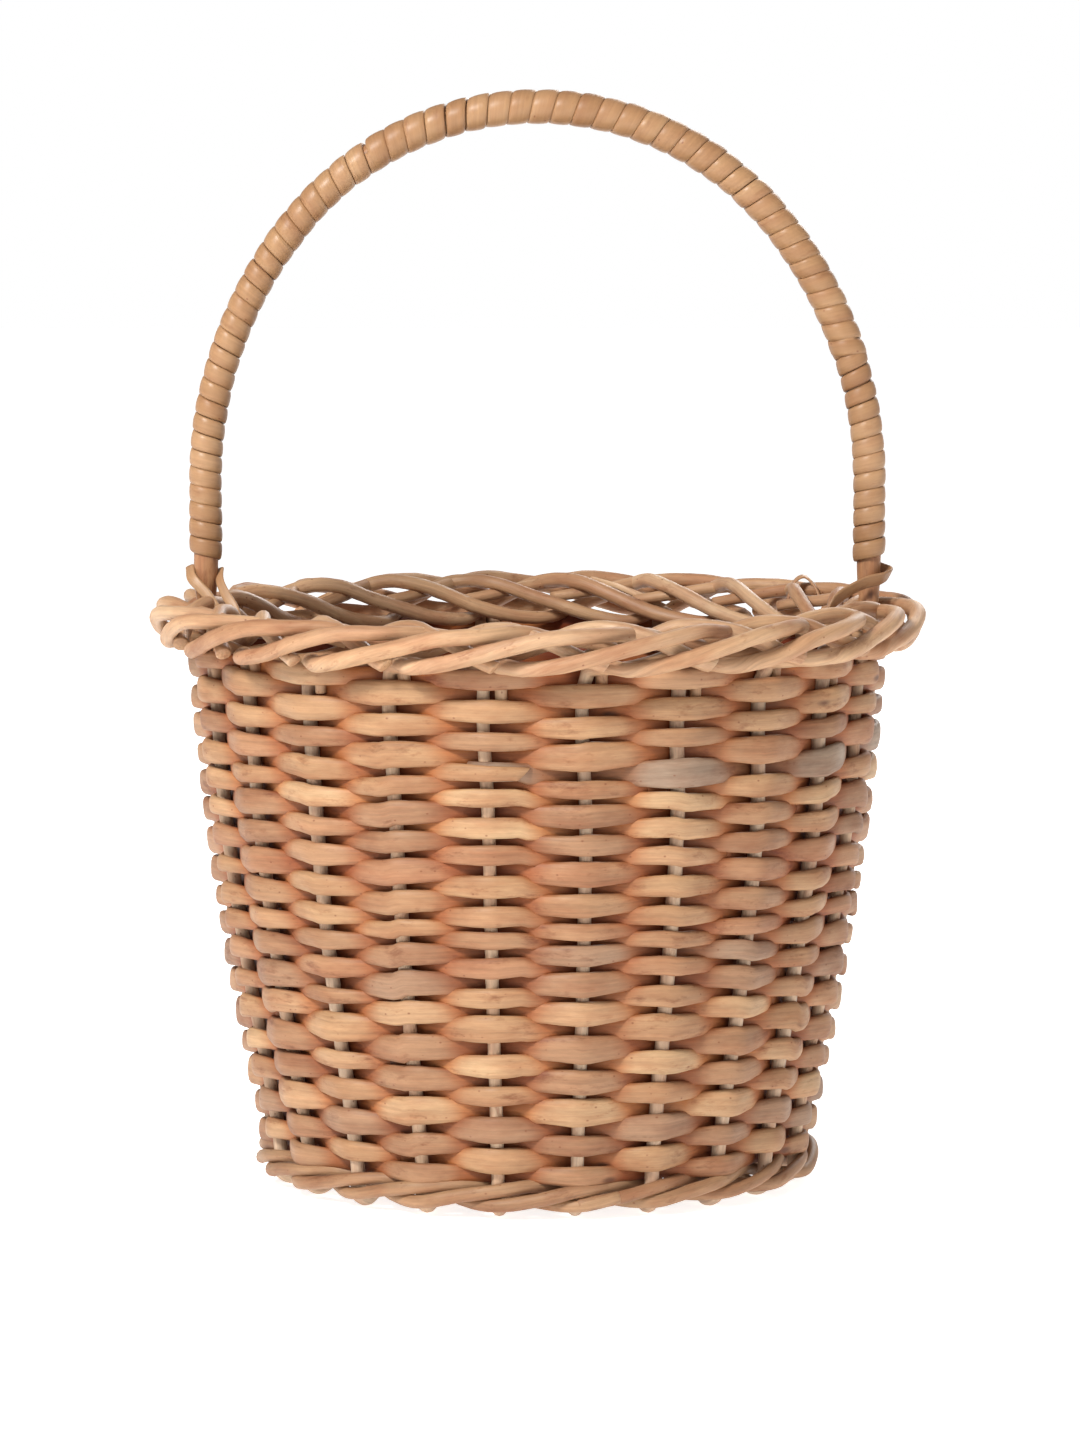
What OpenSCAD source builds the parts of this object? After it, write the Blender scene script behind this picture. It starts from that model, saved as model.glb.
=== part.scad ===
// Round woven market basket with a fixed bow handle.
// The origin is the centre of the foot, on the ground. +Z is up, and the handle spans the X axis.
// Angles run round the basket from the front (-Y) towards +X.

/* [Body] */
// Outer radius of the weave at its lowest round
foot_radius = 108; // [104:1:110]
// Outer radius of the weave at its highest round
rim_radius = 137; // [134:1:140]
// How far the wall bulges past a straight cone, at mid height
wall_bulge = 4; // [0:0.5:6]
// Height at which the side weave ends
weave_top = 209; // [195:1:210]

/* [Weave] */
// Rounds of weaver between the foot and the border
round_count = 34; // [30:2:34]
// Thickness of a weaver through the wall
weaver_thickness = 3.6; // [3:0.1:3.8]
// How far a weaver swings to each side of the ring of stakes
weave_swing = 5; // [4.8:0.1:5.4]

/* [Rods] */
// Radius of a side stake
stake_radius = 2.6; // [2.2:0.1:2.8]
// Radius of the bye stakes, which only strengthen the border
bye_stake_radius = 2.1; // [1.6:0.1:2.3]
// Radius of the three rods of the foot wale
wale_rod_radius = 2.1; // [1.6:0.1:2.2]
// Radius of the rods that weave the base
base_rod_radius = 2.1; // [1.6:0.1:2.1]

/* [Handle] */
// Distance from the axis to the centreline of the bow's legs
bow_radius = 129.5; // [127:0.5:131]
// Height of the bow's centreline at its crown
bow_top = 417.5; // [408:0.5:435]
// Radius of the bow's two side arcs, between the legs and the crown
bow_side_radius = 160; // [150:1:170]
// Radius of the bow's crown arc
bow_crown_radius = 120; // [112:1:122]
// Radius of the bow rod
bow_rod_radius = 4.7; // [4:0.1:4.8]
// Thickness of the skein wrapped round the bow
skein_thickness = 1.1; // [0.8:0.1:1.6]

/* [Hidden] */
stake_count = 22;
stake_step = 360 / stake_count;
rounds_per_node = 2;
round_node_count = round_count / rounds_per_node;
round_gap = 0.2;
weave_bottom = 14;
round_pitch = (weave_top - weave_bottom) / round_count;
// How far the ring of stakes stands inside the weave's outer face
stake_inset = weave_swing + weaver_thickness / 2;
weaver_colour = [0.78, 0.58, 0.42];
stake_colour = [0.74, 0.60, 0.48];
border_colour = [0.85, 0.68, 0.49];
skein_colour = [0.76, 0.52, 0.30];
// A weaver's place at a stake and at each quarter of the way to the next, as a share of its swing
swing_shape = [1, 0.82, 0, -0.82];
// The same on the way to a bow stake, where it clears the stake and the bow's end together
bow_swing_shape = [1, 0.78, -0.6, -1];
stakes_before_bow = [4, 15];

// The border's ring of reference, over the stakes
border_radius = rim_radius - 6;
// Border paths as [stakes gone past, distance outside the ring of reference, height above the weave]
outer_border_path = [
    [0.16, 4.6, 3.2], [0.36, 12.2, 3.6], [0.72, 16.2, 4.6], [1.20, 16.8, 7.4], [1.60, 15.2, 10.4],
    [2.00, 11.6, 12.6], [2.35, 4.0, 12.6], [2.65, -3.4, 11.2], [2.90, -7.2, 8.4]
];
inner_border_path = [
    [0.16, -4.6, 3.0], [0.38, -10.6, 3.4], [0.80, -13.4, 5.0], [1.30, -13.4, 8.2], [1.80, -10.6, 12.6],
    [2.20, -5.6, 16.0], [2.50, 0, 17.0], [2.78, 5.2, 14.6], [3.00, 6.2, 10.2], [3.16, 7.2, 7.8],
    [3.36, 9.6, 8.2], [3.55, 10.2, 8.0]
];
// How far round from its stake a bye stake stands, in stakes, and how deep it is pushed in
bye_stake_shift = 0.15;
bye_stake_depth = 10;

// Height of the lowest point of a stake's centreline. Its elbow is worn flat at the ground
elbow_z = 1.9;
ground_cut = 5;
// A wale rod's places at a stake and halfway to the next, over three stakes: [distance outside
// the ring of stakes, height], in front low, in front high, then over the others and behind
wale_places = [[5.2, 4.3], [5.5, 7.3], [5.2, 9.6], [0, 11.6], [-5.4, 10.3], [-0.6, 6.4]];

// The base
stick_half_length = 85;
stick_gaps = [0, 2, 4, 6, 8, 10];
through_stick_radius = 2.2;
split_stick_radius = 3.4;
slath_angle = 36.8;
slath_spacing = 7;
slath_reach = 17;
stick_neck = 25;
slit_height = 2 * through_stick_radius + 0.4;
slit_length = 2 * (slath_spacing + through_stick_radius + 1);
base_edge_z = 9.4;
base_dome = 6;
base_row_first = 27;
base_row_last = 84;
base_row_count = 14;
base_row_gap = 0.4;

// The bow
skein_clearance = 0.5;
skein_outer_radius = bow_rod_radius + skein_clearance + skein_thickness;
wrap_foot_z = 240;
// Gap between two lengths of skein, as an angle round the bow
wrap_gap = 0.3;
// Where the side arcs meet the crown arc, and the heights of their centres
crown_angle = acos((bow_side_radius - bow_radius) / (bow_side_radius - bow_crown_radius));
crown_centre_z = bow_top - bow_crown_radius;
side_centre_z = crown_centre_z - (bow_side_radius - bow_crown_radius) * sin(crown_angle);
bow_foot_z = 232;
bow_leg_z = (bow_foot_z + side_centre_z) / 2;
bow_tail_z = 140;
bow_tail_radius = 2.7;
bow_tail_tip_radius = 1.6;
bow_tail_shift = 6;

stake_names = [for (k = [1:stake_count]) str("side_stake_", k < 10 ? "0" : "", k)];
round_names = [for (k = [1:round_node_count]) str("weaver_rounds_", k < 10 ? "0" : "", k)];

function unit(v) = v / norm(v);
function polar(r, a, z) = [r * sin(a), -r * cos(a), z];
function outward(a) = [sin(a), -cos(a), 0];
function stake_angle(k) = (k + 0.5) * stake_step;
function wall_share(z) = (z - weave_bottom) / (weave_top - weave_bottom);
// Radius of the ring of stakes at a height, along the bulging wall
function stake_ring(z) =
    foot_radius - stake_inset + (rim_radius - foot_radius) * wall_share(z)
    + 4 * wall_bulge * wall_share(z) * (1 - wall_share(z));
function tangent(path, i) = unit(path[min(i + 1, len(path) - 1)] - path[max(i - 1, 0)]);
function square_to(v, t) = unit(v - (v * t) * t);
// A direction across the rod at each point, carried along the path without twist
function across(path, first) = [
    for (i = 0, v = square_to(first, tangent(path, 0));
         i < len(path);
         i = i + 1, v = square_to(v, tangent(path, min(i, len(path) - 1)))) v
];
function ring_points(centre, side, ahead, radius, sides) = [
    for (j = [0:sides - 1])
        let (a = 360 * j / sides)
            centre + radius * (cos(a) * side + sin(a) * cross(ahead, side))
];
function skin_faces(rings, sides, closed) = [
    for (i = [0:rings - (closed ? 1 : 2)]) for (j = [0:sides - 1])
        let (a = i * sides, b = ((i + 1) % rings) * sides, k = (j + 1) % sides)
            each [[a + j, b + j, b + k], [a + j, b + k, a + k]]
];

// A rod whose centreline is the path, with a radius for each point
module rod(path, radii, first, sides = 6) {
    side = across(path, first);
    rings = len(path);
    points = [
        for (i = [0:rings - 1]) each ring_points(path[i], side[i], tangent(path, i), radii[i], sides)
    ];
    ends = [[for (j = [0:sides - 1]) j], [for (j = [sides - 1:-1:0]) (rings - 1) * sides + j]];
    polyhedron(points, concat(skin_faces(rings, sides, false), ends));
}

// A rod that closes on itself round the basket
module hoop(path, radius, sides = 6) {
    rings = len(path);
    points = [
        for (i = [0:rings - 1])
            let (ahead = unit(path[(i + 1) % rings] - path[(i + rings - 1) % rings]))
                each ring_points(path[i], square_to([0, 0, 1], ahead), ahead, radius, sides)
    ];
    polyhedron(points, skin_faces(rings, sides, true));
}

function border_points(k, path) = [
    for (p = path) polar(border_radius + p[1], stake_angle(k + p[0]), weave_top + p[2])
];

// Leg under the base, elbow at the ground, and upright, as distances from the axis and heights
function stake_lower_points() = concat(
    [[60, 12.1], [78, 10.3], [87, 8.2], [93.6, 4.6], [97, elbow_z], [100, 4.4]],
    [for (z = [9, 14, 42, 75, 110, 150, weave_top]) [stake_ring(max(z, weave_bottom)), z]]
);

// One side stake: from the base, up the wall and into the border, all one rod
module side_stake(k) {
    lower = [for (p = stake_lower_points()) polar(p[0], stake_angle(k), p[1])];
    upper = border_points(k, outer_border_path);
    lower_radii = [for (i = [0:len(lower) - 1]) stake_radius];
    upper_radii = [for (i = [0:len(upper) - 1]) stake_radius * (1 - 0.02 * i)];
    color(stake_colour)
    difference() {
        rod(concat(lower, upper), concat(lower_radii, upper_radii), outward(stake_angle(k) + 90));
        translate([-stick_half_length * 2, -stick_half_length * 2, -ground_cut])
            cube([stick_half_length * 4, stick_half_length * 4, ground_cut]);
    }
}

// Thin rods pushed in beside the stakes, which rise inside the border and cross over its ridge
module bye_stakes() {
    color(border_colour)
    for (k = [0:stake_count - 1]) {
        path = concat(
            [for (z = [weave_top - bye_stake_depth, weave_top - bye_stake_depth / 2, weave_top])
                polar(stake_ring(z), stake_angle(k + bye_stake_shift), z)],
            border_points(k, inner_border_path)
        );
        rod(path, [for (i = [0:len(path) - 1]) bye_stake_radius * (1 - 0.01 * i)], [0, 0, 1]);
    }
}

function swing(k, quarter) =
    len(search(k, stakes_before_bow)) > 0 ? bow_swing_shape[quarter] : swing_shape[quarter];
function weaver_radius(row, k, quarter) =
    stake_ring(weave_bottom + (row + 0.5) * round_pitch)
    + ((row + k) % 2 == 0 ? 1 : -1) * weave_swing * swing(k, quarter);
function weaver_outline(row, shift) = [
    for (k = [0:stake_count - 1]) for (quarter = [0:3])
        let (p = polar(weaver_radius(row, k, quarter) + shift, stake_angle(k + quarter / 4), 0))
            [p[0], p[1]]
];

// One round of weaver, in front of one stake and behind the next
module weaver_round(row) {
    translate([0, 0, weave_bottom + row * round_pitch])
    linear_extrude(round_pitch - round_gap)
    difference() {
        polygon(weaver_outline(row, weaver_thickness / 2));
        polygon(weaver_outline(row, -weaver_thickness / 2));
    }
}

module weaver_rounds(first_row) {
    color(weaver_colour)
    for (row = [first_row:first_row + rounds_per_node - 1])
        weaver_round(row);
}

// Three rods of wale, each in front of two stakes and behind one, over the elbows
module foot_wale() {
    ring = stake_ring(weave_bottom);
    color(weaver_colour)
    for (s = [0:2])
        hoop(
            [for (k = [0:stake_count - 1]) for (half = [0, 1])
                let (place = wale_places[2 * ((k + s) % 3) + half])
                    polar(ring + place[0], stake_angle(k + half / 2), place[1])],
            wale_rod_radius
        );
}

function base_height(r) = base_edge_z + base_dome * (1 - pow(r / stick_half_length, 2));

// One half of a stick, from its place in the cross out to its gap between two stakes
function half_stick(gap, line, beside) = concat(
    [line * slath_reach + beside + [0, 0, base_height(0)]],
    [for (r = [stick_neck, 42, 62, stick_half_length]) polar(r, gap * stake_step, base_height(r))]
);
function reversed(path) = [for (i = [len(path) - 1:-1:0]) path[i]];

function even_radii(path, radius) = [for (p = path) radius];

// Three sticks side by side at the middle, and fanned out to their gaps between the stakes
module slath_sticks(first_gap, line_angle, middle_radius, end_radius) {
    radii = [for (i = [0:9]) i == 4 || i == 5 ? middle_radius : end_radius];
    line = outward(line_angle);
    for (i = [0:2]) {
        beside = outward(line_angle + 90) * (i - 1) * slath_spacing;
        front = half_stick(stick_gaps[first_gap + i], line, beside);
        back = half_stick(stick_gaps[first_gap + 2 - i] + stake_count / 2, -line, beside);
        rod(concat(reversed(back), front), radii, [0, 0, 1], 8);
    }
}

module slath_through_sticks() {
    color(stake_colour) slath_sticks(0, slath_angle, through_stick_radius, through_stick_radius);
}

// The thicker sticks are slit at the middle, and the through sticks pass through the slits
module slath_split_sticks() {
    color(stake_colour)
    difference() {
        slath_sticks(3, slath_angle + 90, split_stick_radius, stake_radius);
        translate([0, 0, base_height(0)])
        rotate([0, 0, slath_angle])
        cube([slit_length, 60, slit_height], center = true);
    }
}

module base_rods(side) {
    lift = side * (stake_radius + base_rod_radius + base_row_gap);
    step = (base_row_last - base_row_first) / (base_row_count - 1);
    color(weaver_colour)
    for (i = [0:base_row_count - 1]) {
        r = base_row_first + i * step;
        translate([0, 0, base_height(r) + lift])
        rotate_extrude($fn = 96)
        translate([r, 0]) circle(base_rod_radius, $fn = 24);
    }
}

function side_arc(angle) = [
    bow_radius - bow_side_radius * (1 - cos(angle)), 0, side_centre_z + bow_side_radius * sin(angle)
];
function crown_arc(angle) = [
    bow_crown_radius * cos(angle), 0, crown_centre_z + bow_crown_radius * sin(angle)
];

// The bow: pointed ends pushed down the wall beside two stakes, straight legs and a three-arc arch
module bow_handle() {
    side_points = [for (i = [0:6]) side_arc(crown_angle * i / 6)];
    crown_points = [for (i = [1:11]) crown_arc(crown_angle + (180 - 2 * crown_angle) * i / 12)];
    arc = concat(side_points, crown_points, [for (p = reversed(side_points)) [-p[0], 0, p[2]]]);
    tail = [for (z = [bow_tail_z, 172, weave_top]) [stake_ring(z), -bow_tail_shift, z]];
    leg = [[bow_radius, -bow_tail_shift / 2, 221], [bow_radius, 0, bow_foot_z], [bow_radius, 0, bow_leg_z]];
    right = concat(tail, leg);
    left = [for (p = reversed(right)) [-p[0], -p[1], p[2]]];
    end_radii = [bow_tail_tip_radius, bow_tail_radius, bow_tail_radius, 3.3, bow_rod_radius, bow_rod_radius];
    radii = concat(end_radii, even_radii(arc, bow_rod_radius), reversed(end_radii));
    color(skein_colour) rod(concat(right, arc, left), radii, [0, 1, 0], 8);
}

module skein_ring() {
    difference() {
        circle(skein_outer_radius, $fn = 48);
        circle(skein_outer_radius - skein_thickness, $fn = 48);
    }
}

// Skein round an arc of the bow, between two angles from +X
module skein_arc(centre_x, centre_z, radius, start, end) {
    translate([centre_x, 0, centre_z])
    rotate([90, 0, 0])
    rotate([0, 0, start])
    rotate_extrude(angle = end - start, $fn = 120)
    translate([radius, 0]) skein_ring();
}

// A length of skein from the right foot up the leg and the side arc
module skein_leg_and_side() {
    color(skein_colour) {
        translate([bow_radius, 0, wrap_foot_z])
        linear_extrude(side_centre_z - wrap_foot_z) skein_ring();
        skein_arc(bow_radius - bow_side_radius, side_centre_z, bow_side_radius, 0, crown_angle - wrap_gap);
    }
}

module skein_wrap_right() {
    skein_leg_and_side();
}

module skein_wrap_crown() {
    color(skein_colour)
    skein_arc(0, crown_centre_z, bow_crown_radius, crown_angle, 180 - crown_angle);
}

module skein_wrap_left() {
    mirror([1, 0, 0]) skein_leg_and_side();
}

// A strip of skein that ties the bow's end to the border
module foot_lashing(side) {
    path = [
        for (p = [[-16.5, -15, -6], [-18, -12.5, 6], [-13, -10.5, 16], [-2, -10, 22.5],
                  [8, -8.5, 24.5], [10.5, -2, 26.5], [8.5, 7, 28.5]])
            [side * (bow_radius + p[0]), p[1], weave_top + p[2]]
    ];
    color(skein_colour) rod(path, even_radii(path, 1.5), [0, 1, 0]);
}

slath_split_sticks();
slath_through_sticks();
base_rods(1);  // base_rods_upper
base_rods(-1);  // base_rods_lower
for (k = [0:stake_count - 1])
    side_stake(k);
foot_wale();
for (k = [0:round_node_count - 1])
    weaver_rounds(k * rounds_per_node);
bye_stakes();
bow_handle();
skein_wrap_left();
skein_wrap_crown();
skein_wrap_right();
foot_lashing(-1);  // foot_lashing_left
foot_lashing(1);  // foot_lashing_right
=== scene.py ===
import math

import bpy
import numpy as np
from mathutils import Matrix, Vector


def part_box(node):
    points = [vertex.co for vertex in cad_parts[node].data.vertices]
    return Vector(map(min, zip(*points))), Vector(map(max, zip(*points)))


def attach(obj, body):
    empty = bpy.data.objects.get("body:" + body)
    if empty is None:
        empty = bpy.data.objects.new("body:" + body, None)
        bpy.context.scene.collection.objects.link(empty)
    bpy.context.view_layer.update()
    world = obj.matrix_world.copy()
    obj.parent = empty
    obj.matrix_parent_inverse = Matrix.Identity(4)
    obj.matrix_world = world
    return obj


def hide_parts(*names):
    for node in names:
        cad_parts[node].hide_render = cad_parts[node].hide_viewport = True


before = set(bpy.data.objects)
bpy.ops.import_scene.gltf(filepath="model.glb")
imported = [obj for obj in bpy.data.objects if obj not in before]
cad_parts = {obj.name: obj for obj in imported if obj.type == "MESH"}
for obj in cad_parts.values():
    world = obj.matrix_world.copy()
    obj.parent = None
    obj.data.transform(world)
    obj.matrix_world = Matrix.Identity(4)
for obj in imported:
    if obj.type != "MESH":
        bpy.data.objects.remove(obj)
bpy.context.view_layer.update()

# Lengths in this script are millimetres until a mesh is made. Angles run round the basket from
# the front (-Y) towards +X, and places round it are counted in stakes.
MM = 0.001
STAKES = 22
STEP = 2 * math.pi / STAKES
UP = np.array([0.0, 0.0, 1.0])


def span(name):
    """A CAD node's lowest and highest corners, in millimetres."""
    low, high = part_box(name)
    return np.array(low) / MM, np.array(high) / MM


def nodes_named(start):
    return sorted(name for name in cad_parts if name.startswith(start))


ROUND_NODES = nodes_named("weaver_rounds_")
STAKE_NODES = nodes_named("side_stake_")
ROWS = 2 * len(ROUND_NODES)
WEAVE_BOTTOM = span(ROUND_NODES[0])[0][2]
WEAVE_TOP = span(ROUND_NODES[-1])[1][2]
ROW_PITCH = (WEAVE_TOP - WEAVE_BOTTOM) / ROWS
# The CAD weaver's swing and half thickness, between its outer face and the ring of stakes
CAD_INSET = 6.8
RING_HEIGHTS = [span(name)[1][2] - ROW_PITCH / 2 for name in ROUND_NODES]
RING_RADII = [span(name)[1][0] - CAD_INSET for name in ROUND_NODES]
BORDER_RADIUS = RING_RADII[-1] + 1
BOW_ROD_RADIUS = 4.7
BOW_RADIUS = span("bow_handle")[1][0] - BOW_ROD_RADIUS
BOW_SIDE_RADIUS, BOW_CROWN_RADIUS = 160.0, 120.0
BOW_CROWN_ANGLE = math.acos((BOW_SIDE_RADIUS - BOW_RADIUS) / (BOW_SIDE_RADIUS - BOW_CROWN_RADIUS))
CROWN_CENTRE_Z = span("bow_handle")[1][2] - BOW_ROD_RADIUS - BOW_CROWN_RADIUS
SIDE_CENTRE_Z = CROWN_CENTRE_Z - (BOW_SIDE_RADIUS - BOW_CROWN_RADIUS) * math.sin(BOW_CROWN_ANGLE)
WRAP_FOOT_Z = span("skein_wrap_right")[0][2]


# ---------------------------------------------------------------- small helpers

def smooth(x):
    x = np.clip(x, 0, 1)
    return x * x * (3 - 2 * x)


def unit(v):
    return v / np.linalg.norm(v, axis=-1, keepdims=True)


def ring_at(z):
    """Radius of the ring of stakes at a height."""
    return np.interp(z, RING_HEIGHTS, RING_RADII)


def polar(radius, place, z):
    """Points at a radius, a place counted in stakes, and a height."""
    turn = (np.asarray(place) + 0.5) * STEP
    radius, turn, z = np.broadcast_arrays(radius, turn, z)
    return np.stack([radius * np.sin(turn), -radius * np.cos(turn), z], -1).astype(float)


def outward(place):
    return polar(1.0, place, 0.0)


def wander(rng, s, wave, strength):
    """A smooth seeded wave along a length."""
    total = np.zeros(np.shape(s))
    for share in (1.0, 0.53, 0.29):
        total += share * np.sin(2 * math.pi * s / (wave * share) + rng.uniform(0, 2 * math.pi))
    return strength * total / 1.5


def curve(points, per_span=6):
    """A smooth centripetal curve through the points."""
    points = np.asarray(points, float)
    padded = np.vstack([2 * points[0] - points[1], points, 2 * points[-1] - points[-2]])
    gaps = np.maximum(np.linalg.norm(np.diff(padded, axis=0), axis=1), 1e-6) ** 0.5
    made = []
    for i in range(1, len(padded) - 2):
        a, b, c, d = padded[i - 1:i + 3]
        ga, gb, gc = gaps[i - 1], gaps[i], gaps[i + 1]
        slope_b = gb * ((b - a) / ga - (c - a) / (ga + gb) + (c - b) / gb)
        slope_c = gb * ((c - b) / gb - (d - b) / (gb + gc) + (d - c) / gc)
        for t in np.linspace(0, 1, per_span, endpoint=False):
            made.append(
                (2 * t**3 - 3 * t**2 + 1) * b + (t**3 - 2 * t**2 + t) * slope_b
                + (3 * t**2 - 2 * t**3) * c + (t**3 - t**2) * slope_c
            )
    made.append(padded[-2])
    return np.array(made)


def lengths(path):
    return np.concatenate([[0], np.cumsum(np.linalg.norm(np.diff(path, axis=0), axis=1))])


# ---------------------------------------------------------------- rods and pieces

def rod(rng, path, hint, half_wide, half_thick, tone, high=0.0, sides=12, power=2.3,
        slant=(0.0, 0.0), lumps=0.02, sharp_end=False, paint_crevice_shade=False):
    """One willow rod swept along a path: wide along the hint, with cut ends and small lumps."""
    count = len(path)
    ahead = unit(np.gradient(path, axis=0))
    hint = np.broadcast_to(hint, path.shape)
    wide = unit(hint - np.sum(hint * ahead, 1, keepdims=True) * ahead)
    thick = np.cross(ahead, wide)
    s = lengths(path)
    around = 2 * math.pi * np.arange(sides) / sides
    across = np.sign(np.cos(around)) * np.abs(np.cos(around)) ** (2 / power)
    through = np.sign(np.sin(around)) * np.abs(np.sin(around)) ** (2 / power)
    grow = np.ones((count, sides))
    for turns, wave in ((1, 31.0), (2, 17.0), (3, 9.0)):
        phase = rng.uniform(0, 2 * math.pi, 2)
        grow += lumps / turns * np.sin(turns * around[None] + phase[0] + 2 * math.pi * s[:, None] / wave)
        grow += lumps / 2 * np.sin(2 * math.pi * s[:, None] / (wave * 0.8) + phase[1])
    u = np.broadcast_to(half_wide, count)[:, None] * across[None] * grow
    v = np.broadcast_to(half_thick, count)[:, None] * through[None] * grow
    rings = path[:, None] + wide[:, None] * u[..., None] + thick[:, None] * v[..., None]
    place = np.stack([u, v, np.broadcast_to(s[:, None], u.shape)], -1)
    for end, sign in ((0, -1), (-1, 1)):
        rings[end] += ahead[end] * (slant[end] * u[end])[:, None]
        cap = path[end] + (rings[end] - path[end]) * 0.8 + ahead[end] * sign * 0.35
        if sharp_end and end == -1:
            cap = path[end] + (rings[end] - path[end]) * 0.15 + ahead[end] * 3.0
        rings = np.concatenate([cap[None], rings] if end == 0 else [rings, cap[None]])
        place = np.concatenate([place[:1], place] if end == 0 else [place, place[-1:]])
    # How much shade is painted into the rod's colour: none unless the rod asks for it
    deep = np.zeros(rings.shape[:2])
    if paint_crevice_shade:
        offset = np.linalg.norm(rings[..., :2], axis=-1) - ring_at(rings[..., 2])
        # Painted shade: 0 on the outer face, 1 down in crevices and 2 on the inner face of the wall, which
        # the shader darkens
        painted_crevice_shade = 1 - smooth((offset - 0.8) / 3.4)
        deep = np.where(offset > 0.8, painted_crevice_shade, 1 + smooth((-offset - 0.5) / 4.0))
    start = rng.uniform(0, 40)
    place[..., 2] += start * 50
    total = count + 2
    index = np.arange(total * sides).reshape(total, sides)
    nxt = np.roll(index, -1, axis=1)
    quads = np.stack([index[:-1], nxt[:-1], nxt[1:], index[1:]], -1).reshape(-1, 4).tolist()
    faces = quads + [index[0][::-1].tolist(), index[-1].tolist()]
    def full(value):
        value = np.broadcast_to(np.asarray(value, float), count)
        value = np.concatenate([value[:1], value, value[-1:]])
        return np.repeat(value, sides)
    return {"points": rings.reshape(-1, 3), "faces": faces, "place": place.reshape(-1, 3),
            "tone": full(tone), "high": full(high), "deep": deep.ravel()}


def piece(name, parts, material, replaced):
    """A Blender object made of one or more rods, riding on the basket."""
    points, faces, shift = [], [], 0
    for part in parts:
        points.append(part["points"])
        faces += [[i + shift for i in face] for face in part["faces"]]
        shift += len(part["points"])
    mesh = bpy.data.meshes.new(name)
    mesh.from_pydata((np.concatenate(points) * MM).tolist(), [], faces)
    mesh.polygons.foreach_set("use_smooth", [True] * len(faces))
    for key, kind, field in (("place", "FLOAT_VECTOR", "vector"), ("tone", "FLOAT", "value"),
                             ("high", "FLOAT", "value"), ("deep", "FLOAT", "value")):
        values = np.concatenate([part[key] for part in parts])
        layer = mesh.attributes.new("rod_" + key, kind, "POINT")
        layer.data.foreach_set(field, (values * (MM if key == "place" else 1)).ravel())
    mesh.materials.append(material)
    mesh.update()
    made = bpy.data.objects.new(name, mesh)
    bpy.context.scene.collection.objects.link(made)
    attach(made, "root")
    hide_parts(*replaced)
    return made


# ---------------------------------------------------------------- materials

def colour(red, green, blue):
    """A display colour, 0 to 255, as the linear colour a shader takes."""
    parts = []
    for value in (red, green, blue):
        value /= 255
        parts.append(value / 12.92 if value <= 0.04045 else ((value + 0.055) / 1.055) ** 2.4)
    return (*parts, 1.0)


def feed(tree, socket, value):
    if isinstance(value, bpy.types.NodeSocket):
        tree.links.new(value, socket)
    else:
        socket.default_value = value


def put(tree, kind, inputs, **settings):
    """A node with its settings and inputs, by name or number."""
    made = tree.nodes.new(kind)
    for key, value in settings.items():
        setattr(made, key, value)
    for key, value in inputs.items():
        feed(tree, made.inputs[key], value)
    return made


def mixed(tree, share, first, second, how="MIX"):
    made = put(tree, "ShaderNodeMix", {}, data_type="RGBA", blend_type=how)
    for socket, value in ((0, share), (6, first), (7, second)):
        feed(tree, made.inputs[socket], value)
    return made.outputs[2]


def calc(tree, operation, first, second):
    return put(tree, "ShaderNodeMath", {0: first, 1: second}, operation=operation).outputs[0]


def ranged(tree, value, low, high, to_low, to_high):
    inputs = {"Value": value, 1: low, 2: high, 3: to_low, 4: to_high}
    return put(tree, "ShaderNodeMapRange", inputs, clamp=True).outputs[0]


def rod_noise(tree, place, across, along, detail=3.0, rough=0.6):
    """Noise in a rod's own space, stretched along it. Sizes are in millimetres."""
    scaled = put(tree, "ShaderNodeVectorMath",
                 {0: place, 1: (1000 / across, 1000 / across, 1000 / along)}, operation="MULTIPLY")
    inputs = {"Vector": scaled.outputs[0], "Scale": 1.0, "Detail": detail, "Roughness": rough}
    return put(tree, "ShaderNodeTexNoise", inputs).outputs["Fac"]


def spots(tree, place, across, along, size, rarity):
    """Scattered spots in a rod's own space: 1 in a spot's middle and 0 off it."""
    scaled = put(tree, "ShaderNodeVectorMath",
                 {0: place, 1: (1000 / across, 1000 / across, 1000 / along)}, operation="MULTIPLY")
    cells = put(tree, "ShaderNodeTexVoronoi", {"Vector": scaled.outputs[0], "Scale": 1.0})
    chosen = put(tree, "ShaderNodeSeparateColor", {0: cells.outputs["Color"]})
    near = ranged(tree, cells.outputs["Distance"], size * 0.35, size, 1.0, 0.0)
    picked = calc(tree, "GREATER_THAN", chosen.outputs[0], rarity)
    return calc(tree, "MULTIPLY", near, picked)


def tone_ramp(tree, tone, palette):
    ramp = put(tree, "ShaderNodeValToRGB", {0: tone})
    stops = ramp.color_ramp.elements
    while len(stops) < len(palette):
        stops.new(0.5)
    for i, shade in enumerate(palette):
        stops[i].position = i / (len(palette) - 1)
        stops[i].color = shade
    return ramp.outputs[0]


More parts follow.
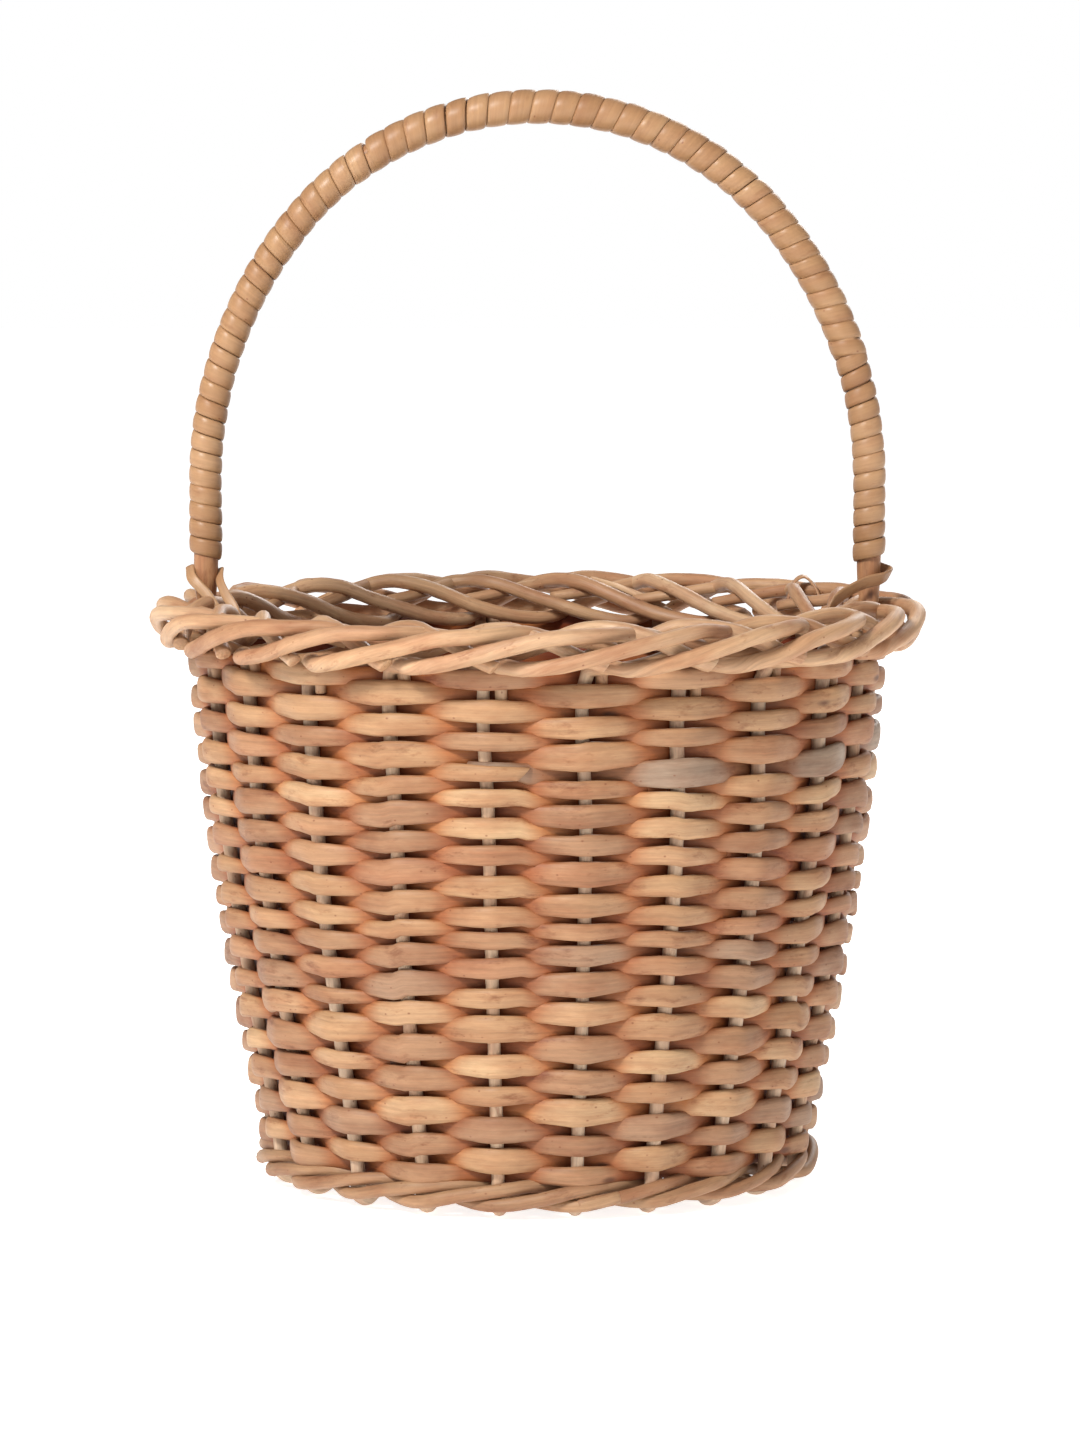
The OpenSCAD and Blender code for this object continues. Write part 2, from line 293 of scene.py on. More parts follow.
def willow(name, palette, border_palette=None, rough=(0.48, 0.66), grain=1.0, marks=1.0):
    """Peeled willow: a tone for each rod, streaks along it, blotches, specks and bud scars, with painted
    shade in crevices and on the inner face.
    """
    material = bpy.data.materials.new(name)
    material.use_nodes = True
    tree = material.node_tree
    skin = tree.nodes["Principled BSDF"]
    place = put(tree, "ShaderNodeAttribute", {}, attribute_name="rod_place").outputs["Vector"]
    tone = put(tree, "ShaderNodeAttribute", {}, attribute_name="rod_tone").outputs["Fac"]
    high = put(tree, "ShaderNodeAttribute", {}, attribute_name="rod_high").outputs["Fac"]
    shade = tone_ramp(tree, tone, palette)
    if border_palette:
        shade = mixed(tree, high, shade, tone_ramp(tree, tone, border_palette))
    streak = rod_noise(tree, place, 1.3, 32, 5.0, 0.65)
    blotch = rod_noise(tree, place, 9, 26, 3.0)
    fine = rod_noise(tree, place, 0.5, 2.4, 2.0)
    stain = rod_noise(tree, place, 5, 14, 4.0, 0.7)
    speck = spots(tree, place, 2.4, 3.2, 0.20, 1 - 0.15 * marks)
    scar = spots(tree, place, 10, 26, 0.15, 1 - 0.36 * marks)
    shade = mixed(tree, ranged(tree, blotch, 0.40, 0.68, 0.0, 0.62 * grain), shade,
                  mixed(tree, 1.0, shade, colour(206, 168, 150), "MULTIPLY"))
    shade = mixed(tree, ranged(tree, stain, 0.58, 0.74, 0.0, 0.75 * grain), shade,
                  mixed(tree, 1.0, shade, colour(186, 146, 122), "MULTIPLY"))
    shade = mixed(tree, 1.0, shade, ranged(tree, streak, 0.25, 0.75, 1 - 0.24 * grain, 1 + 0.20 * grain),
                  "MULTIPLY")
    shade = mixed(tree, 1.0, shade, ranged(tree, fine, 0.25, 0.75, 1 - 0.06 * grain, 1 + 0.05 * grain),
                  "MULTIPLY")
    # Painted shade: the colour darkens towards crevices between the rods, and darkens further on the inner
    # face of the wall
    deep = put(tree, "ShaderNodeAttribute", {}, attribute_name="rod_deep").outputs["Fac"]
    shade = mixed(tree, ranged(tree, deep, 0.0, 1.0, 0.0, 1.0), shade,
                  mixed(tree, 1.0, shade, colour(232, 182, 142), "MULTIPLY"))
    shade = mixed(tree, ranged(tree, deep, 1.0, 2.0, 0.0, 1.0), shade,
                  mixed(tree, 1.0, shade, colour(190, 140, 108), "MULTIPLY"))
    shade = mixed(tree, calc(tree, "MULTIPLY", speck, 0.75), shade, colour(112, 62, 38))
    shade = mixed(tree, calc(tree, "MULTIPLY", scar, 0.8), shade, colour(88, 54, 38))
    feed(tree, skin.inputs["Base Color"], shade)
    feed(tree, skin.inputs["Roughness"], ranged(tree, blotch, 0.3, 0.7, rough[0], rough[1]))
    skin.inputs["Specular IOR Level"].default_value = 0.35
    height = calc(tree, "ADD", calc(tree, "MULTIPLY", streak, 0.7), calc(tree, "MULTIPLY", fine, 0.25))
    height = calc(tree, "ADD", height, calc(tree, "MULTIPLY", scar, -0.5))
    bump = put(tree, "ShaderNodeBump", {"Strength": 0.5 * grain, "Distance": 0.0005, "Height": height})
    feed(tree, skin.inputs["Normal"], bump.outputs[0])
    return material


WEAVE_SHADES = [colour(146, 124, 104), colour(147, 109, 80), colour(160, 121, 87),
                colour(166, 129, 93), colour(155, 111, 80), colour(178, 144, 107)]
STAKE_SHADES = [colour(180, 156, 132), colour(190, 164, 138), colour(196, 166, 136)]
BORDER_SHADES = [colour(174, 137, 103), colour(187, 150, 114), colour(168, 127, 93),
                 colour(200, 168, 134)]
WALE_SHADES = [colour(153, 117, 86), colour(144, 107, 77), colour(162, 128, 95)]
BASE_SHADES = [colour(158, 118, 86), colour(144, 106, 76), colour(168, 130, 96)]
SKEIN_SHADES = [colour(148, 110, 76), colour(156, 119, 84), colour(168, 132, 97)]
BOW_SHADES = [colour(158, 114, 78), colour(168, 124, 88)]


def make_materials():
    return {
        "weave": willow("willow_weave", WEAVE_SHADES),
        "stake": willow("willow_stake", STAKE_SHADES, BORDER_SHADES, marks=0.7),
        "border": willow("willow_border", BORDER_SHADES, rough=(0.38, 0.56), marks=0.8),
        "wale": willow("willow_wale", WALE_SHADES),
        "base": willow("willow_base", BASE_SHADES),
        "skein": willow("willow_skein", SKEIN_SHADES, rough=(0.34, 0.5), grain=0.6, marks=0.5),
        "bow": willow("willow_bow", BOW_SHADES, rough=(0.4, 0.55)),
    }


# ---------------------------------------------------------------- the side weave

STATIONS = 12
WEAVE_SWING = 4.9
# A visible weaver is taller than its row's share of the wall, because rods nest at each crossing
WEAVER_HEIGHT = 0.77
WEAVER_THICK = 2.1
# The row whose join shows on the outside at the front, and where
JOIN_ROW = 27
JOIN_PLACE = 21.36


def row_sizes(rng):
    """Relative size of each row at each station round the basket, from butt to tip and over."""
    place = np.arange(STAKES * STATIONS) / STATIONS
    sizes, joins = [], []
    for row in range(ROWS):
        behind = rng.integers(0, STAKES // 2) * 2 + (row + 1) % 2
        join = JOIN_PLACE if row == JOIN_ROW else float(behind)
        gone = ((place - join) % STAKES) / STAKES
        taper = rng.uniform(0.16, 0.34)
        size = rng.uniform(0.82, 1.22) * (1 + taper * (0.5 - gone))
        near_join = np.minimum(gone, 1 - gone) * STAKES
        size = size * (0.9 + 0.1 * smooth(near_join / 1.5))
        sizes.append(size + wander(rng, place, 7.3, 0.05))
        joins.append(join)
    return np.array(sizes), joins


def weaver(rng, row, share, middle, join):
    """One round of weaver: in front of one stake, behind the next, with its two ends lapped."""
    on_show = row == JOIN_ROW
    start, stop = (join - 0.55, join + STAKES) if on_show else (join - 0.35, join + STAKES + 0.45)
    count = int((stop - start) * STATIONS) + 1
    place = np.linspace(start, stop, count)
    wrapped = np.arange(STAKES * STATIONS + 1) / STATIONS
    def round_values(values):
        return np.interp(place % STAKES, wrapped, np.append(values, values[0]))
    z = round_values(middle) + wander(rng, place, 5.1, 0.35)
    tall = round_values(share) * WEAVER_HEIGHT
    kink = rng.uniform(0.93, 0.99)
    wave = np.cos(math.pi * (place + row))
    swing = np.arcsin(kink * wave) / math.asin(kink)
    lap = smooth((place - (stop - 1.0)) / 0.8)
    lap_side = 2.0 if on_show else -2.6
    start_lap = smooth(((start + 1.0) - place) / 0.8) * (-1.4 if on_show else 0.0)
    radius = ring_at(z) + WEAVE_SWING * swing + lap * lap_side + start_lap
    radius = radius + wander(rng, place, 2.7, 0.18)
    tall = tall * (1 - 0.13 * (1 - wave**2)) * (1 - 0.25 * lap)
    thin = WEAVER_THICK * np.sqrt(round_values(share) / ROW_PITCH) * (1 - 0.25 * lap)
    tilt = wander(rng, place, 6.3, 0.10) + 0.05 * swing
    hint = UP + tilt[:, None] * outward(place)
    tone = np.full(count, rng.uniform(0.1, 1.0)) + wander(rng, place, 15, 0.08)
    if on_show:
        tone = np.where((place - start) < 9, 0.0, 0.55)
    # The weavers carry painted shade in their crevices and on the inner face of the wall
    return rod(rng, polar(radius, place, z), hint, tall, thin, tone, sides=16, power=2.7,
               slant=(0.0, 0.9 if on_show else 0.3), lumps=0.016, paint_crevice_shade=True)


def side_weave(materials):
    rng = np.random.default_rng(41)
    sizes, joins = row_sizes(rng)
    height = WEAVE_TOP - WEAVE_BOTTOM
    share = sizes / sizes.sum(0) * height
    middle = WEAVE_BOTTOM + np.cumsum(share, 0) - share / 2
    for row in range(ROWS):
        part = weaver(rng, row, share[row], middle[row], joins[row])
        piece(f"woven_round_{row + 1:02d}", [part], materials["weave"], [ROUND_NODES[row // 2]])


# ---------------------------------------------------------------- stakes and border

# A stake's leg under the base and its elbow, as distances from the axis and heights
LEG_AND_ELBOW = [(60, 12.1), (78, 10.3), (88, 8.0), (95, 5.0), (99.4, 3.15), (103.4, 4.8)]
# Border paths as stakes gone past, distance outside the border's ring, height above the weave
OUTER_STROKE = [(0.16, 4.6, 2.4), (0.36, 11.2, 2.2), (0.72, 14.8, 4.4), (1.20, 17.2, 9.6),
                (1.60, 17.0, 13.4), (2.00, 12.6, 15.0), (2.35, 5.0, 14.6), (2.65, -2.0, 12.8),
                (2.95, -6.0, 10.6), (3.32, -8.0, 8.6)]
INNER_STROKE = [(0.16, -3.6, 2.2), (0.38, -9.6, 0.2), (0.80, -12.8, 1.8), (1.25, -13.2, 6.0),
                (1.65, -11.6, 10.8), (1.98, -7.4, 14.8), (2.26, -1.2, 15.6), (2.52, 4.4, 13.2),
                (2.76, 8.2, 9.0), (2.96, 10.8, 5.6), (3.12, 13.0, 3.2)]
STAKE_HALF = 2.6
BORDER_HALF = 3.05
BYE_STAKE_SHIFT = 0.14
BYE_STAKE_DEPTH = 10
BYE_STAKE_HALF = 2.95
# A stake stands this far outside its ring, and thickens round its elbow
STAKE_PROUD = 0.9
ELBOW_SWELL, ELBOW_LENGTH = 0.16, 7
STAKE_HEIGHTS = (9, 14, 42, 75, 110, 150, WEAVE_TOP)


def border_path(rng, k, stroke, stray):
    shift = rng.uniform(-1, 1, (len(stroke), 3)) * stray
    shift[0] *= 0.3
    return np.concatenate([
        polar(BORDER_RADIUS + out + moved[1], k + past + moved[0] * 0.04, WEAVE_TOP + rise + moved[2])
        [None] for (past, out, rise), moved in zip(stroke, shift)
    ])


def stake(rng, k):
    """A stake: leg under the base, elbow at the ground, up the wall and over into the border."""
    lean = rng.uniform(-0.03, 0.03)
    leg = [polar(r, k, z) for r, z in LEG_AND_ELBOW]
    elbow = leg[-2]
    wall = [polar(ring_at(z) + STAKE_PROUD, k + lean * math.sin(z / 60), z) for z in STAKE_HEIGHTS]
    path = curve(np.vstack([leg, wall, border_path(rng, k, OUTER_STROKE, 0.55)]))
    s = lengths(path)
    high = smooth((path[:, 2] - WEAVE_TOP + 4) / 8) * (path[:, 2] > 100)
    half = STAKE_HALF * rng.uniform(0.95, 1.06) + high * (BORDER_HALF - STAKE_HALF)
    half = half * (1 + ELBOW_SWELL * np.exp(-(np.linalg.norm(path - elbow, axis=1) / ELBOW_LENGTH) ** 2))
    half = half + wander(rng, s, 70, 0.06)
    end = np.clip((s[-1] - s) / 60, 0, 1)
    half = half * (0.72 + 0.28 * end)
    tone = rng.uniform(0, 1)
    return rod(rng, path, outward(k + 5.5), half, half, tone, high, sides=12, power=2.05, slant=(0, 0.6))


def bye_stake(rng, k):
    """A short rod pushed in beside a stake, which rises inside the border and crosses its ridge."""
    wall = [polar(ring_at(z), k + BYE_STAKE_SHIFT, z)
            for z in (WEAVE_TOP - BYE_STAKE_DEPTH, WEAVE_TOP - BYE_STAKE_DEPTH / 2, WEAVE_TOP)]
    path = curve(np.vstack([wall, border_path(rng, k, INNER_STROKE, 0.5)]))
    s = lengths(path)
    half = BYE_STAKE_HALF * rng.uniform(0.92, 1.08) + wander(rng, s, 50, 0.08)
    half = half * (0.75 + 0.25 * smooth(s / 50))
    return rod(rng, path, UP + 0.2 * outward(k), half, half, rng.uniform(0, 1), 1.0, sides=12,
               power=2.05, slant=(0, 0.35))


def broken_rod(rng):
    """The splintered end of a broken rod, on the inner face of the back rim."""
    start = np.array([22.0, 128.5, WEAVE_TOP + 15])
    slivers = []
    for i in range(-2, 3):
        end = np.array([52 + rng.uniform(-8, 3), 117 + rng.uniform(-1, 1), WEAVE_TOP + 3.5 + 2.1 * i])
        middle = (start + end) / 2 + (0, -2.0, rng.uniform(0.5, 2.5))
        path = [start + (0, 0, 0.5 * i), middle, end]
        slivers.append(strip(rng, path, UP, rng.uniform(0.8, 1.5), 0.95))
    return slivers


def stray_loop(rng):
    """A loop of skein that stands over the back rim, by the right foot of the bow."""
    path = [(101, 74, WEAVE_TOP + 11), (104, 77, WEAVE_TOP + 18.5), (108, 79, WEAVE_TOP + 20.5),
            (112, 78, WEAVE_TOP + 17), (115, 74, WEAVE_TOP + 10)]
    return [strip(rng, path, np.array([0.0, 1.0, 0.2]), 1.9, 0.6)]


# What is added to a border rod's piece, by the rod's number counted from 0
BORDER_EXTRAS = {9: broken_rod, 7: stray_loop}


def stakes_and_border(materials):
    rng = np.random.default_rng(7)
    extra_rng = np.random.default_rng(47)
    for k, name in enumerate(STAKE_NODES):
        piece(f"stake_rod_{k + 1:02d}", [stake(rng, k)], materials["stake"], [name])
        parts = [bye_stake(rng, k)]
        if k in BORDER_EXTRAS:
            parts += BORDER_EXTRAS[k](extra_rng)
        piece(f"border_rod_{k + 1:02d}", parts, materials["border"], ["bye_stakes"])


# ---------------------------------------------------------------- foot and base

# A wale rod's places at a stake and halfway to the next: distance outside the stakes, height
WALE_PLACES = [(5.6, 5.6), (6.2, 8.4), (5.2, 10.8), (0.4, 12.2), (-5.4, 10.3), (-0.6, 6.6)]
WALE_HALF = 2.35
BASE_EDGE_Z = 9.4
BASE_DOME = 6
STICK_REACH = 85
STICK_GAPS = [0, 2, 4, 6, 8, 10]
SLATH_ANGLE = 36.8
SLATH_SPACING = 7
SLATH_REACH = 17
# The two sets of base sticks: first stick, direction, CAD node and half thickness
SLATH_SETS = [(0, SLATH_ANGLE, "slath_through_sticks", 2.2),
              (3, SLATH_ANGLE + 90, "slath_split_sticks", 3.0)]
BASE_ROWS = 14
BASE_FIRST, BASE_LAST = 27, 84
BASE_ROD_HALF = 2.1
# How far a base rod rises and dips at the sticks, and how far its last points step outward
BASE_LIFT = 4.6
BASE_POINTS = 170
BASE_END_POINTS = 14
BASE_END_STEP = 1.6


def foot_wale(materials):
    rng = np.random.default_rng(19)
    parts = []
    for strand in range(3):
        points = []
        for k in range(STAKES + 1):
            for half in (0, 1):
                out, z = WALE_PLACES[2 * ((k + strand) % 3) + half]
                out += rng.uniform(-0.35, 0.35)
                points.append(polar(RING_RADII[0] - 0.9 + out, k + half / 2, z + rng.uniform(-0.4, 0.4)))
        path = curve(points, 5)
        s = lengths(path)
        half = WALE_HALF + wander(rng, s, 160, 0.22)
        parts.append(rod(rng, path, UP, half * 1.08, half, rng.uniform(0, 1), sides=12, power=2.1))
    for strand, part in enumerate(parts):
        piece(f"wale_rod_{strand + 1}", [part], materials["wale"], ["foot_wale"])


def base_height(radius):
    return BASE_EDGE_Z + BASE_DOME * (1 - (radius / STICK_REACH) ** 2)


def stick_places():
    """The twelve ends of the base sticks, as angles round the basket."""
    gaps = STICK_GAPS + [gap + STAKES // 2 for gap in STICK_GAPS]
    return np.array(sorted(gap * STEP for gap in gaps))


def round_point(radius, angle, z):
    return np.array([radius * math.sin(angle), -radius * math.cos(angle), z])


def half_stick(gap, line, beside):
    inner = line * SLATH_REACH + beside + UP * base_height(0)
    return [inner] + [round_point(r, gap * STEP, base_height(r)) for r in (25, 42, 62, STICK_REACH)]


def base_sticks(materials):
    rng = np.random.default_rng(23)
    for first, angle, node, half in SLATH_SETS:
        line = round_point(1, math.radians(angle), 0)
        side = round_point(1, math.radians(angle + 90), 0)
        for i in range(3):
            beside = side * (i - 1) * SLATH_SPACING
            back = half_stick(STICK_GAPS[first + 2 - i] + STAKES // 2, -line, beside)
            path = curve(back[::-1] + half_stick(STICK_GAPS[first + i], line, beside))
            part = rod(rng, path, UP, half, half, rng.uniform(0, 1), power=2.1)
            piece(f"base_stick_{first + i + 1}", [part], materials["base"], [node])


def base_weave(materials):
    rng = np.random.default_rng(29)
    sticks = stick_places()
    for row in range(BASE_ROWS):
        radius = BASE_FIRST + (BASE_LAST - BASE_FIRST) * row / (BASE_ROWS - 1)
        turns = np.concatenate([sticks, sticks[:2] + 2 * math.pi])
        fine = np.linspace(turns[0], turns[-1], BASE_POINTS)
        at = np.interp(fine, turns, np.arange(len(turns)))
        lift = BASE_LIFT * np.cos(math.pi * (at + row))
        r = radius + wander(rng, fine, 1.9, 0.25)
        r[-BASE_END_POINTS:] += np.linspace(0, BASE_END_STEP, BASE_END_POINTS)
        path = np.stack([r * np.sin(fine), -r * np.cos(fine), base_height(r) + lift], -1)
        half = BASE_ROD_HALF * rng.uniform(0.92, 1.08)
        part = rod(rng, path, UP, half, half, rng.uniform(0, 1), sides=10, power=2.1)
        piece(f"base_weaver_{row + 1:02d}", [part], materials["base"],
              ["base_rods_upper", "base_rods_lower"])


# ---------------------------------------------------------------- the handle

BOW_TAIL_Z = 140
BOW_TAIL_SHIFT = 6
# Where the skein is spliced: an angle up the right side arc, and one round the crown from -X
RIGHT_SPLICE, LEFT_SPLICE = math.radians(19), math.radians(58)
SKEIN_THICK = 1.1
# Width of one turn on the legs, how much wider one is on the crown, and how far that spreads
TURN_WIDTH, CROWN_EXTRA, CROWN_SPREAD = 6.7, 1.9, 0.2
SKEIN_TURN_POINTS = 22
SKEIN_RADIUS = 6.0
# Heights of the bow's three points between the wall and its straight wrapped leg
BOW_LEG_HEIGHTS = (221, 232, 258)
SIDE_LENGTH = BOW_SIDE_RADIUS * BOW_CROWN_ANGLE
CROWN_LENGTH = BOW_CROWN_RADIUS * (math.pi - 2 * BOW_CROWN_ANGLE)
LEG_LENGTH = SIDE_CENTRE_Z - WRAP_FOOT_Z
BOW_LENGTH = 2 * (LEG_LENGTH + SIDE_LENGTH) + CROWN_LENGTH


def bow_core(materials):
    rng = np.random.default_rng(31)
    tail = [np.array([ring_at(z), -BOW_TAIL_SHIFT, z]) for z in (BOW_TAIL_Z, 172, WEAVE_TOP)]
    shifts = (-BOW_TAIL_SHIFT / 2, 0, 0)
    leg = [np.array([BOW_RADIUS, shift, z]) for shift, z in zip(shifts, BOW_LEG_HEIGHTS)]
    right = tail + leg
    left = [p * (-1, -1, 1) for p in right[::-1]]
    arc = bow_at(np.linspace(LEG_LENGTH, BOW_LENGTH - LEG_LENGTH, 30))[0][::-1]
    path = curve(right + list(arc) + left, 4)
    s = lengths(path)
    edge = np.minimum(s, s[-1] - s)
    half = np.interp(edge, [0, 30, 70, 85, 95], [1.6, 2.7, 2.9, 3.6, BOW_ROD_RADIUS])
    part = rod(rng, path, np.array([0.0, 1.0, 0.0]), half, half, 0.5, power=2.0)
    piece("bow_core", [part], materials["bow"], ["bow_handle"])


def bow_at(s):
    """The bow's point, direction and outward normal at a length from the left foot of the wrap."""
    up_left = np.clip((s - LEG_LENGTH) / BOW_SIDE_RADIUS, 0, BOW_CROWN_ANGLE)
    over = np.clip((s - LEG_LENGTH - SIDE_LENGTH) / BOW_CROWN_RADIUS, 0, CROWN_LENGTH / BOW_CROWN_RADIUS)
    down_right = np.clip((s - LEG_LENGTH - SIDE_LENGTH - CROWN_LENGTH) / BOW_SIDE_RADIUS, 0, BOW_CROWN_ANGLE)
    angle = math.pi - up_left - over - down_right
    out = np.stack([np.cos(angle), 0 * s, np.sin(angle)], -1)
    ahead = np.stack([np.sin(angle), 0 * s, -np.cos(angle)], -1)
    on_crown = (s > LEG_LENGTH + SIDE_LENGTH) & (s < BOW_LENGTH - LEG_LENGTH - SIDE_LENGTH)
    radius = np.where(on_crown, BOW_CROWN_RADIUS, BOW_SIDE_RADIUS)
    middle_x = np.where(on_crown, 0.0, np.sign(s - BOW_LENGTH / 2) * (BOW_RADIUS - BOW_SIDE_RADIUS))
    middle_z = np.where(on_crown, CROWN_CENTRE_Z, SIDE_CENTRE_Z)
    middle_z = middle_z + np.minimum(s - LEG_LENGTH, 0) + np.minimum(BOW_LENGTH - LEG_LENGTH - s, 0)
    centre = np.stack([middle_x, 0 * s, middle_z], -1) + radius[:, None] * out
    return centre, ahead, out


def wrap_pitch(s):
    """Width of one turn of skein: wider over the crown than on the legs."""
    return TURN_WIDTH + CROWN_EXTRA * np.exp(-((s / BOW_LENGTH - 0.5) / CROWN_SPREAD) ** 2)


def skein_ribbon(rng, start, stop, hand, lift=0.0):
    """A flat strip wound round the bow, crowned across its width, edge to edge with itself."""
    per_turn = SKEIN_TURN_POINTS
    s_list, phase_list = [start], [rng.uniform(0, 2 * math.pi)]
    while s_list[-1] < stop:
        s_list.append(s_list[-1] + wrap_pitch(s_list[-1]) / per_turn)
        phase_list.append(phase_list[-1] + hand * 2 * math.pi / per_turn)
    s, phase = np.array(s_list), np.array(phase_list)
    pitch = wrap_pitch(s)
    turn = np.arange(len(s)) / per_turn
    knots = np.arange(int(turn[-1]) + 3)
    narrow = np.interp(turn, knots, np.where(rng.uniform(size=len(knots)) < 0.16,
                                             rng.uniform(0.06, 0.14, len(knots)), 0.0))
    proud = lift + np.interp(turn, knots, rng.uniform(-0.12, 0.22, len(knots)))
    tone = np.interp(turn, knots, rng.uniform(0.0, 1.0, len(knots)))
    lean = np.interp(turn, knots, rng.uniform(-0.16, 0.30, len(knots)))
    across = np.array([-1.0, -0.86, -0.5, 0.0, 0.5, 0.86, 1.0])
    crown = np.array([-0.62, -0.22, 0.02, 0.10, 0.02, -0.22, -0.62])
    width = pitch * (0.5 - narrow / 2)
    inner = BOW_ROD_RADIUS + 0.05
    rings = []
    for along, rise, is_outer in [(a, c, True) for a, c in zip(across, crown)] + \
                                 [(a, 0.0, False) for a in across[::-1]]:
        centre, ahead, out = bow_at(s + along * width)
        front = np.array([0.0, -1.0, 0.0])
        spoke = np.cos(phase)[:, None] * out + np.sin(phase)[:, None] * front
        radius = inner + (SKEIN_THICK + 0.45 + rise + proud + lean * along if is_outer else 0.0)
        rings.append(centre + spoke * np.broadcast_to(radius, len(s))[:, None])
    rings = np.stack(rings, 1)
    sides = rings.shape[1]
    index = np.arange(len(s) * sides).reshape(len(s), sides)
    nxt = np.roll(index, -1, axis=1)
    order = [index[:-1], index[1:], nxt[1:], nxt[:-1]] if hand > 0 else \
        [index[:-1], nxt[:-1], nxt[1:], index[1:]]
    faces = np.stack(order, -1).reshape(-1, 4).tolist()
    caps = [index[0].tolist(), index[-1][::-1].tolist()]
    faces += caps if hand > 0 else [cap[::-1] for cap in caps]
    arc_length = phase * SKEIN_RADIUS
    place = np.stack([np.broadcast_to(np.append(across, across[::-1])[None] * pitch[:, None] / 2,
                                      (len(s), sides)),
                      np.zeros((len(s), sides)),
                      np.broadcast_to(arc_length[:, None] + 3000, (len(s), sides))], -1)
    return {"points": rings.reshape(-1, 3), "faces": faces, "place": place.reshape(-1, 3),
            "tone": np.repeat(tone, sides), "high": np.zeros(len(s) * sides),
            "deep": np.zeros(len(s) * sides)}


def skein_wraps(materials):
    rng = np.random.default_rng(37)
    left = LEG_LENGTH + SIDE_LENGTH + (LEFT_SPLICE - BOW_CROWN_ANGLE) * BOW_CROWN_RADIUS
    right = BOW_LENGTH - LEG_LENGTH - RIGHT_SPLICE * BOW_SIDE_RADIUS
    for name, start, stop, hand, lift in (("left", 3.6, left + 1, -1, 0.0),
                                          ("crown", left - 2.5, right + 3, -1, 0.35),
                                          ("right", right - 3, BOW_LENGTH - 4, 1, 0.0)):
        part = skein_ribbon(rng, start, stop, hand, lift)
        piece("skein_" + name, [part], materials["skein"], ["skein_wrap_" + name])


def strip(rng, points, hint, half_wide, tone, half_thick=0.55):
    """A flat strip of split skein."""
    path = curve(points)
    s = lengths(path)
    return rod(rng, path, hint, half_wide + wander(rng, s, 25, 0.1), half_thick, tone, power=3.2,
               slant=(0.4, 0.4), lumps=0.02)


def foot_lashings(materials):
    rng = np.random.default_rng(43)
    r, top = BOW_RADIUS, WEAVE_TOP
    right = [(r - 16, -14, top + 2), (r - 17.5, -13, top + 10), (r - 13, -12, top + 18),
             (r - 3, -9.4, top + 24), (r + 5, -6.5, top + 26), (r + 8, 0, top + 27.5),
             (r + 4, 6, top + 29)]
    part = strip(rng, right, np.array([0.5, -0.2, 1.0]), 2.7, 0.3)
    piece("lashing_right", [part], materials["skein"], ["foot_lashing_right"])
    left = [(-r - 6.4, 1.5, top + 30), (-r - 5.2, -5.0, top + 26), (-r + 0.5, -8.2, top + 20),
            (-r + 4, -10, top + 15)]
    other = [(-r + 5.5, 2, top + 29), (-r + 5.6, -4.6, top + 25), (-r + 8, -9, top + 20),
             (-r + 12, -13, top + 14), (-r + 14, -15, top + 6)]
    parts = [strip(rng, left, np.array([0.7, 0.0, 0.7]), 2.1, 0.9),
             strip(rng, other, np.array([0.7, 0.0, 0.7]), 1.9, 1.0)]
    piece("lashing_left", parts, materials["skein"], ["foot_lashing_left"])


# ---------------------------------------------------------------- stage, light and camera

# Name, place, size, power and tint of each light, in metres and watts
LIGHTS = [("key", (-0.95, -1.45, 1.55), 0.5, 58, (1.0, 0.985, 0.96)),
          ("back", (0.7, 1.8, 1.2), 1.2, 22, (1.0, 0.99, 0.98)),
          ("fill", (1.4, -1.2, 0.7), 1.2, 3, (1.0, 0.99, 0.98))]
LIGHT_TARGET = (0, 0, 0.15)
FLOOR_REACH = 12.0
FLOOR_GREY, FLOOR_ROUGHNESS, FLOOR_GLOW = 0.93, 0.9, 0.78
# The sky's strength falls from the horizon's to the top's between two rises of its direction
SKY_RISES = (0.14, 0.30)
SKY_STRENGTHS = (1.0, 0.27)


def area_light(name, place, size, power, tint):
    data = bpy.data.lights.new(name, "AREA")
    data.shape, data.size, data.energy, data.color = "DISK", size, power, tint
    made = bpy.data.objects.new(name, data)
    bpy.context.scene.collection.objects.link(made)
    made.location = place
    aim = Vector(np.array(LIGHT_TARGET) - np.array(place))
    made.rotation_euler = aim.to_track_quat("-Z", "Y").to_euler()


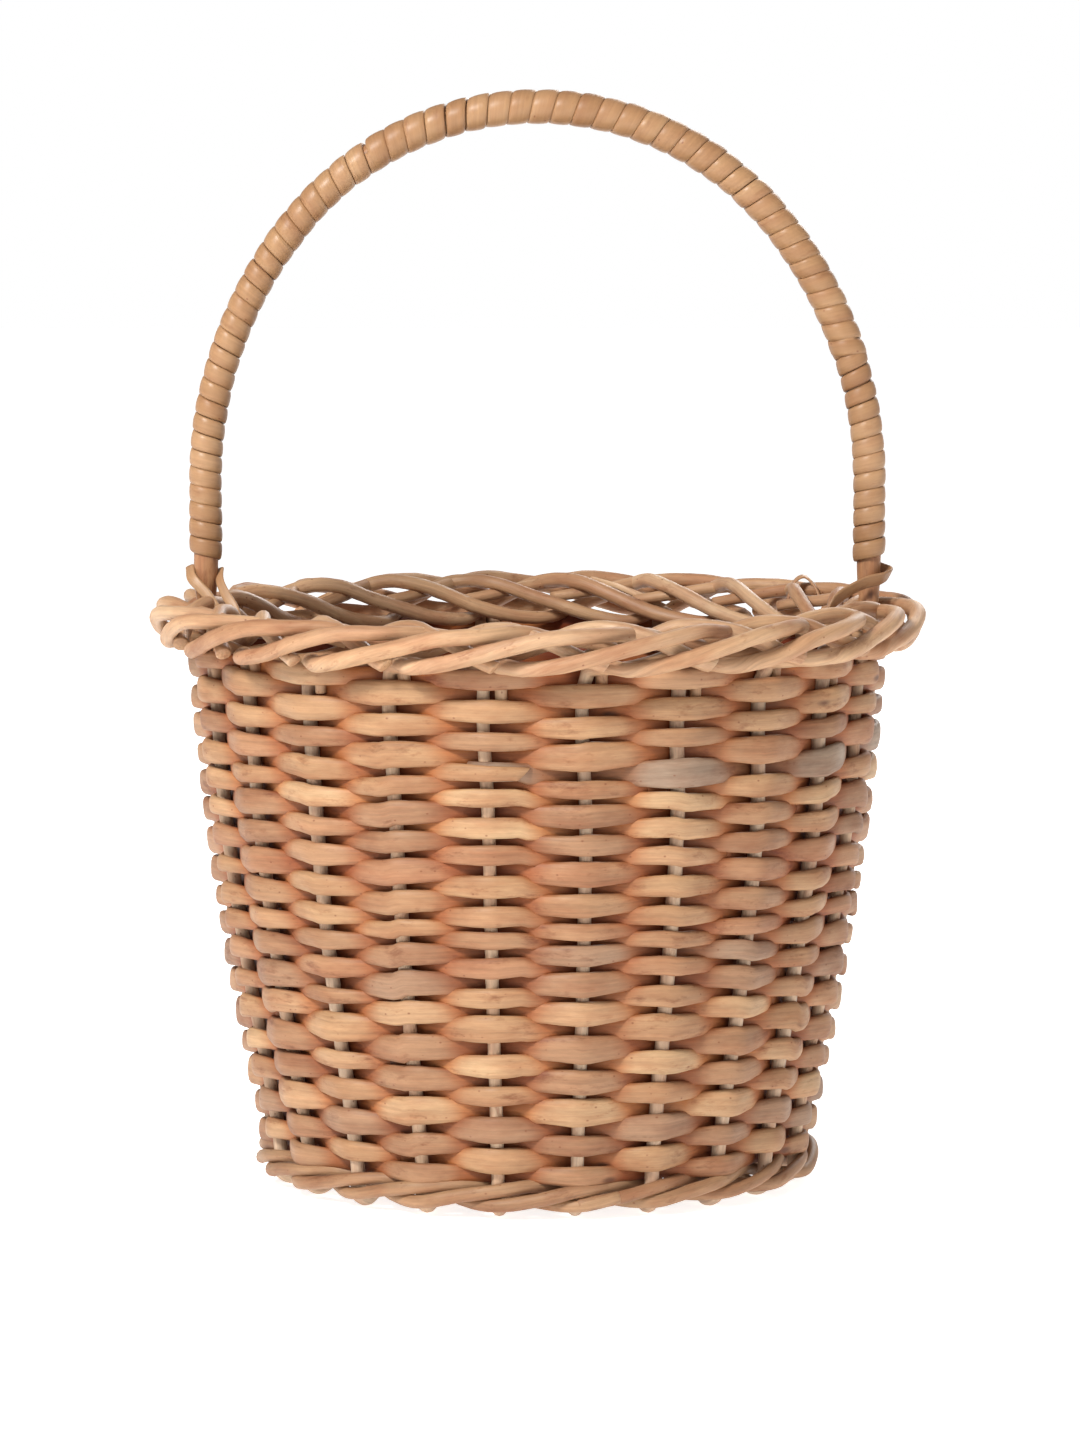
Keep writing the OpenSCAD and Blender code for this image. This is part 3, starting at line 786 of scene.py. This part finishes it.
def studio_floor():
    mesh = bpy.data.meshes.new("studio_floor")
    r = FLOOR_REACH
    mesh.from_pydata([(-r, -r, 0), (r, -r, 0), (r, r, 0), (-r, r, 0)], [], [(0, 1, 2, 3)])
    floor = bpy.data.objects.new("studio_floor", mesh)
    bpy.context.scene.collection.objects.link(floor)
    paint = bpy.data.materials.new("studio_paint")
    paint.use_nodes = True
    skin = paint.node_tree.nodes["Principled BSDF"]
    skin.inputs["Base Color"].default_value = (FLOOR_GREY, FLOOR_GREY, FLOOR_GREY, 1)
    skin.inputs["Roughness"].default_value = FLOOR_ROUGHNESS
    skin.inputs["Emission Color"].default_value = (1, 1, 1, 1)
    skin.inputs["Emission Strength"].default_value = FLOOR_GLOW
    mesh.materials.append(paint)


def studio_sky():
    world = bpy.data.worlds.new("studio")
    world.use_nodes = True
    tree = world.node_tree
    direction = put(tree, "ShaderNodeTexCoord", {}).outputs["Generated"]
    rise = put(tree, "ShaderNodeSeparateXYZ", {0: direction}).outputs["Z"]
    glow = ranged(tree, rise, *SKY_RISES, *SKY_STRENGTHS)
    feed(tree, tree.nodes["Background"].inputs["Strength"], glow)
    tree.nodes["Background"].inputs["Color"].default_value = (1, 1, 1, 1)
    bpy.context.scene.world = world


def stage_and_light():
    studio_floor()
    studio_sky()
    for light in LIGHTS:
        area_light(*light)
    bpy.context.scene.view_settings.view_transform = "Standard"


CAMERA_DISTANCE, CAMERA_HEIGHT, AIM_HEIGHT = 2.171, 0.3915, 0.1786
CAMERA_LENS, CAMERA_SIDE = 139.2, 0.001


def camera():
    data = bpy.data.cameras.new("camera")
    data.lens, data.sensor_width = CAMERA_LENS, 36.0
    made = bpy.data.objects.new("camera", data)
    bpy.context.scene.collection.objects.link(made)
    made.location = (CAMERA_SIDE, -CAMERA_DISTANCE, CAMERA_HEIGHT)
    pitch = math.atan((CAMERA_HEIGHT - AIM_HEIGHT) / CAMERA_DISTANCE)
    made.rotation_euler = (math.pi / 2 - pitch, 0, 0)
    bpy.context.scene.camera = made


def main():
    materials = make_materials()
    side_weave(materials)
    stakes_and_border(materials)
    foot_wale(materials)
    base_sticks(materials)
    base_weave(materials)
    bow_core(materials)
    skein_wraps(materials)
    foot_lashings(materials)
    stage_and_light()
    camera()


main()
